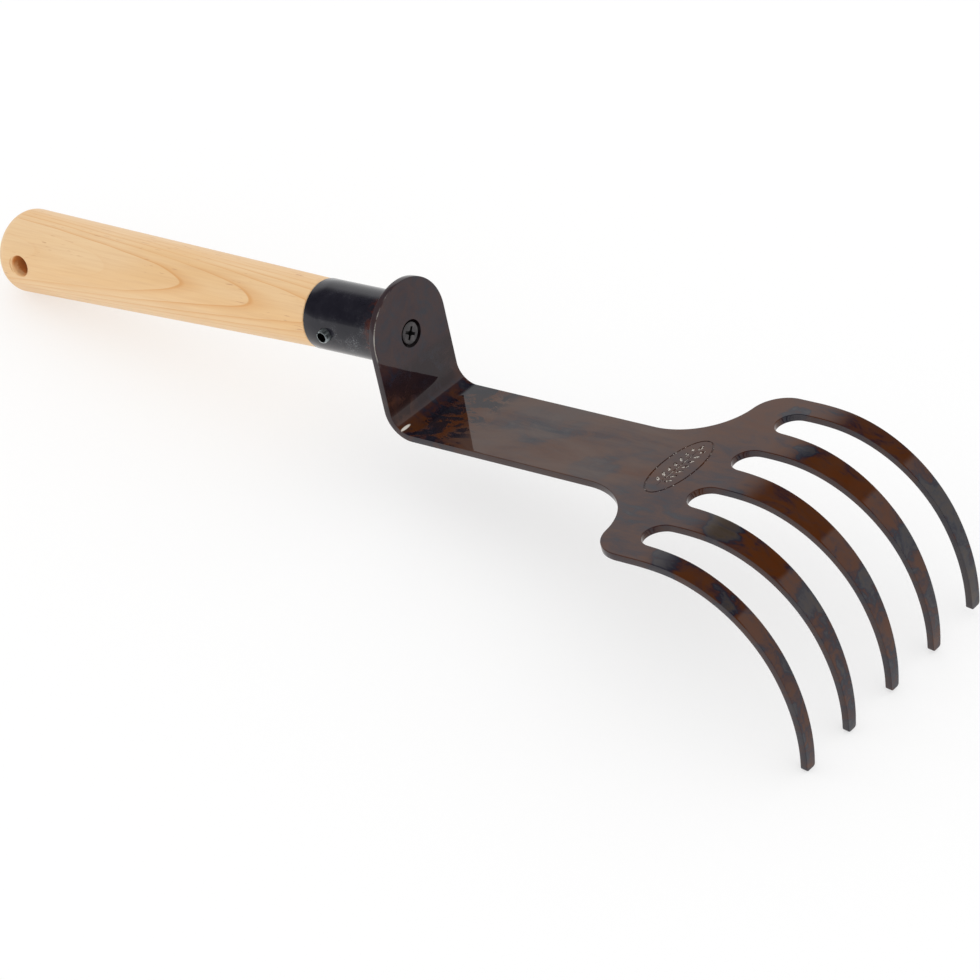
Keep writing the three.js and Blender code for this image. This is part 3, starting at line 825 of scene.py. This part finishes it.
# Painted highlights, in a pale steel grey: glints speckled in the stamp's cuts, a glint on the bend at its
# near end, and a thin line along the flange's near rim.
palm_up = (math.sin(neck_fall), 0, math.cos(neck_fall))
sunk = sums(steel, "SUBTRACT", corner_z * math.cos(neck_fall), measure(steel, "DOT_PRODUCT", at, palm_up))
in_stamp = product(steel, fade(steel, sunk, 0.00012, 0.00022), fade(steel, sunk, 0.0009, 0.0007))
oval = (2 / stamp_wide, 2 / stamp_long, 0)
off_stamp = distance_from(steel, at, (*stamp_at, corner_z), oval)
in_stamp = product(steel, in_stamp, fade(steel, off_stamp, 1.15, 1.05))
stamp_glint = grain_noise(steel, at, 1300, 2.0, 0.6)
stamp_glint_inside = product(steel, fade(steel, stamp_glint, 0.48, 0.54), fade(steel, off_stamp, 0.93, 0.85))
stamp_glint = sums(steel, "MAXIMUM", stamp_glint_inside, fade(steel, stamp_glint, 0.62, 0.68))
# Painted glint: a small pale streak on the bend at its near end.
bend_glint = fade(steel, distance_from(steel, at, glint_at, glint_stretch), 1.15, 0.75)
# Painted highlight: a thin pale line along the flange's rim on the near, upper side, broken up by noise.
off_round = distance_from(steel, at, (0, 0, flange_rise), (0, 1, 1))
across = axis_of(steel, at, "Y")
rim_highlight = product(steel, fade(steel, off_round, neck_half - 0.00032, neck_half - 0.00012),
                   fade(steel, forward, -0.0006, -0.0003))
near_side = product(steel, fade(steel, across, -0.006, -0.014), fade(steel, upward, -0.008, 0.004))
rim_highlight = product(steel, rim_highlight, near_side)
rim_highlight = product(steel, rim_highlight, product(steel, fade(steel, ragged, 0.35, 0.60), 0.5))
rim_highlight = product(steel, rim_highlight, fade(steel, forward, 0.004, 0.001))
painted_glints = sums(steel, "MAXIMUM", product(steel, in_stamp, stamp_glint), bend_glint)
painted_glints = sums(steel, "MAXIMUM", painted_glints, rim_highlight)
oxide_and_painted_light = blend(steel, painted_glints, oxide_and_painted_light, glint_grey)
link(steel, oxide_and_painted_light, temper_shader, "Base Color")
temper_shader.inputs["Metallic"].default_value = 0.0
temper_shader.inputs["Specular IOR Level"].default_value = 0.0
temper_shader.inputs["Roughness"].default_value = 0.5
link(steel, scaled(steel, sink_shaded, -0.85, 1.0), temper_shader, "Coat Weight")
temper_shader.inputs["Coat Roughness"].default_value = 0.035
temper_shader.inputs["Coat IOR"].default_value = 1.37
lacquer = node_in(steel, "ShaderNodeBump", Strength=0.25, Distance=0.0004,
                  Height=grain_noise(steel, at, 45, 2.0, 0.5))
link(steel, lacquer.outputs[0], temper_shader, "Coat Normal")
head.data.materials.clear()
head.data.materials.append(steel)
into_place(head, "tine_head")


# ---- Flange screw ----
# A countersunk cross-recess screw, dark finished, driven through the flange into the end grain of the tenon
# so that its head sits just below the face.

screw_face = -0.0005
head_radius = 0.00505
shank_radius = 0.0024
head_steps = 72
screw_dark = (0.045, 0.041, 0.043, 1)
screw_worn = (0.085, 0.078, 0.080, 1)
recess_shade_black = (0.004, 0.004, 0.004, 1)

screw = make_piece("flange_screw_metal", turn_on_lathe([
    (-0.027, 0), (-0.0265, 0.0004), (-0.021, shank_radius), (-0.00269, shank_radius),
    (screw_face - 0.0002, head_radius), (screw_face - 0.00008, head_radius - 0.00002),
    (screw_face, head_radius - 0.00015), (screw_face + 0.00004, head_radius - 0.0009),
    (screw_face + 0.00006, 0)], head_steps))
recess_turn = math.radians(-33)
recess = bmesh.new()
for turn in (recess_turn, recess_turn + math.pi / 2):
    wing = bmesh.ops.create_cube(recess, size=1)["verts"]
    for vert in wing:
        x, y, z = vert.co
        deep = x < 0
        vert.co = (-0.0021, y * 0.0009, z * 0.0024) if deep else (0.001, y * 0.0016, z * 0.0082)
    bmesh.ops.rotate(recess, verts=wing, cent=(0, 0, 0), matrix=Matrix.Rotation(turn, 3, "X"))
bmesh.ops.translate(recess, verts=recess.verts, vec=(screw_face, 0, 0))
carve(screw, make_piece("recess", recess))
pit = turn_on_lathe([(-0.0024, 0), (-0.0020, 0.0009), (screw_face, 0.0014), (0.001, 0.0019), (0.001, 0)], 24)
carve(screw, make_piece("recess_pit", pit))
resharpen(screw, 30)
screw.data.transform(Matrix.Translation((0, 0, screw_z)))

screw_metal, screw_shader = new_material("dark_screw_steel")
at = tool_coordinates(screw_metal)
spin_mark = stretched_noise(screw_metal, (200, 1400, 1400), (0, 0, 0), 3.0, 0.6)
wear = fade(screw_metal, grain_noise(screw_metal, at, 420, 4.0, 0.65), 0.40, 0.72)
worn = blend(screw_metal, wear, screw_dark, screw_worn)
# Painted shade: below the head's face, the cross recess and its pit are painted near black.
depth = axis_of(screw_metal, at, "X")
recess_shaded = fade(screw_metal, depth, screw_face - 0.00005, screw_face - 0.0003)
link(screw_metal, blend(screw_metal, recess_shaded, worn, recess_shade_black), screw_shader, "Base Color")
screw_shader.inputs["Metallic"].default_value = 0.5
link(screw_metal, scaled(screw_metal, spin_mark, 0.25, 0.30), screw_shader, "Roughness")
spin_bump = node_in(screw_metal, "ShaderNodeBump", Strength=0.15, Distance=0.0001, Height=spin_mark)
link(screw_metal, spin_bump.outputs[0], screw_shader, "Normal")
screw.data.materials.clear()
screw.data.materials.append(screw_metal)
into_place(screw, "flange_screw")


# ---- Roll pin ----
# A split spring pin, rolled from strip with chamfered ends, driven through the ferrule's side into the
# tenon. It stands a few millimetres proud on the tool's right.

pin_wall = 0.00075
pin_inner = -0.0124
pin_proud = 0.0186
pin_slot = math.radians(30)
slot_turn = math.radians(60)
pin_steps = 56
chamfer = 0.00028
pin_blue = (0.20, 0.23, 0.24, 1)
pin_bright = (0.50, 0.55, 0.56, 1)
bore_shade_black = (0.006, 0.006, 0.007, 1)

pin = bmesh.new()
outer = pin_radius
inner = pin_radius - pin_wall
wall_places = [
    (pin_inner, inner + chamfer / 2), (pin_inner, outer - chamfer), (pin_inner + 2 * chamfer, outer),
    (pin_proud - 2 * chamfer, outer), (pin_proud - chamfer / 2, outer - chamfer * 0.6),
    (pin_proud, outer - 1.3 * chamfer), (pin_proud, inner + chamfer / 2), (pin_proud - chamfer, inner),
    (pin_inner + chamfer, inner)]
wall = pin.faces.new([pin.verts.new((0, radius, along)) for along, radius in wall_places])
bmesh.ops.spin(pin, geom=[wall], cent=(0, 0, 0), axis=(0, 0, 1), dvec=(0, 0, 0),
               angle=2 * math.pi - pin_slot, steps=pin_steps, use_merge=False, use_normal_flip=False,
               use_duplicate=False)
bmesh.ops.recalc_face_normals(pin, faces=pin.faces)
bmesh.ops.rotate(pin, verts=pin.verts, cent=(0, 0, 0), matrix=Matrix.Rotation(slot_turn, 3, "Z"))
bmesh.ops.rotate(pin, verts=pin.verts, cent=(0, 0, 0),
                 matrix=Vector((0, 0, 1)).rotation_difference(pin_direction).to_matrix())
bmesh.ops.translate(pin, verts=pin.verts, vec=(pin_at, 0, 0))
roll_pin = make_piece("roll_pin_spring", pin, 40)

pin_metal, pin_shader = new_material("blued_spring_steel")
at = tool_coordinates(pin_metal)
pin_grain = stretched_noise(pin_metal, (900, 90, 900), (0, 0, 0), 3.0, 0.6)
bright = blend(pin_metal, fade(pin_metal, pin_grain, 0.35, 0.7), pin_blue, pin_bright)
# Painted shade: the inside of the bore is painted near black.
off_pin = distance_from(pin_metal, at, (pin_at, 0, 0), (1, 0, 1))
bore_shaded = fade(pin_metal, off_pin, inner + 0.00016, inner + 0.00004)
link(pin_metal, blend(pin_metal, bore_shaded, bright, bore_shade_black), pin_shader, "Base Color")
pin_shader.inputs["Metallic"].default_value = 0.85
link(pin_metal, scaled(pin_metal, pin_grain, 0.2, 0.22), pin_shader, "Roughness")
roll_pin.data.materials.append(pin_metal)
into_place(roll_pin, "roll_pin")


# ---- Floor and light ----
# A plain pale table, lit softly from below as product tables are, under even, soft studio light. The studio
# shows in the lacquer: a bright sweep behind the tool and low down, and a dark ceiling and dark room behind
# the viewer.

floor_drop = 0.0002
floor_half = 30
floor_glow = 0.56
studio_light = 1.06
sweep_light = 0.97
room_light = 0.012
room_low_light = 0.30
degrees = 180 / math.pi

floor_work = bmesh.new()
bmesh.ops.create_grid(floor_work, x_segments=2, y_segments=2, size=floor_half)
bmesh.ops.translate(floor_work, verts=floor_work.verts, vec=(0, 0, -floor_drop))
floor = make_piece("floor", floor_work)
table, table_shader = new_material("lit_white_table")
table_shader.inputs["Base Color"].default_value = (0.42, 0.42, 0.42, 1)
table_shader.inputs["Roughness"].default_value = 0.9
table_shader.inputs["Specular IOR Level"].default_value = 0.1
table_shader.inputs["Emission Color"].default_value = (1, 1, 1, 1)
table_shader.inputs["Emission Strength"].default_value = floor_glow
floor.data.materials.append(table)

world = bpy.data.worlds.new("studio")
bpy.context.scene.world = world
world.use_nodes = True
sky_nodes = world.node_tree.nodes
sky_links = world.node_tree.links
sky = sky_nodes["Background"]
direction = sky_nodes.new("ShaderNodeTexCoord").outputs["Generated"]
split = sky_nodes.new("ShaderNodeSeparateXYZ")
sky_links.new(direction, split.inputs[0])


def sky_math(operation, first, second=0.0, third=0.0):
    """One Math node of the studio's walls, as its output."""
    node = sky_nodes.new("ShaderNodeMath")
    node.operation = operation
    for socket, value in zip(node.inputs, (first, second, third)):
        if isinstance(value, bpy.types.NodeSocket):
            sky_links.new(value, socket)
        else:
            socket.default_value = value
    return node.outputs[0]


def sky_fade(value, low, high):
    """0 below low, 1 above high, smooth between; either may be a socket."""
    node = sky_nodes.new("ShaderNodeMapRange")
    node.interpolation_type = "SMOOTHSTEP"
    for label, given in (("Value", value), ("From Min", low), ("From Max", high)):
        if isinstance(given, bpy.types.NodeSocket):
            sky_links.new(given, node.inputs[label])
        else:
            node.inputs[label].default_value = given
    return node.outputs["Result"]


bearing = sky_math("MULTIPLY", sky_math("ARCTAN2", split.outputs["Y"], split.outputs["X"]), degrees)
rise = sky_math("MULTIPLY", sky_math("ARCSINE", split.outputs["Z"]), degrees)
wall_top = sky_math("MULTIPLY_ADD", bearing, -0.107, 52.6)
softness = sky_math("MAXIMUM", sky_math("MULTIPLY_ADD", bearing, 0.075, -3.5), 0.8)
wall = sky_fade(rise, wall_top, sky_math("SUBTRACT", wall_top, sky_math("MULTIPLY", softness, 2)))
wall_span = sky_math("MULTIPLY", sky_fade(bearing, -25, -5), sky_fade(bearing, 178, 168))
wall = sky_math("MULTIPLY", wall, wall_span)
room = sky_math("MULTIPLY_ADD", sky_fade(rise, 14, 0), room_low_light, room_light)
mirrored = sky_math("MAXIMUM", sky_math("MULTIPLY", wall, sweep_light), room)
seen_in_gloss = sky_nodes.new("ShaderNodeLightPath").outputs["Is Glossy Ray"]
mixed = sky_nodes.new("ShaderNodeMix")
sky_links.new(seen_in_gloss, mixed.inputs[0])
mixed.inputs[2].default_value = studio_light
sky_links.new(mirrored, mixed.inputs[3])
sky_links.new(mixed.outputs[0], sky.inputs["Strength"])
sky.inputs["Color"].default_value = (1, 1, 1, 1)
world.cycles.sampling_method = "NONE"

bpy.context.scene.view_settings.view_transform = "Standard"
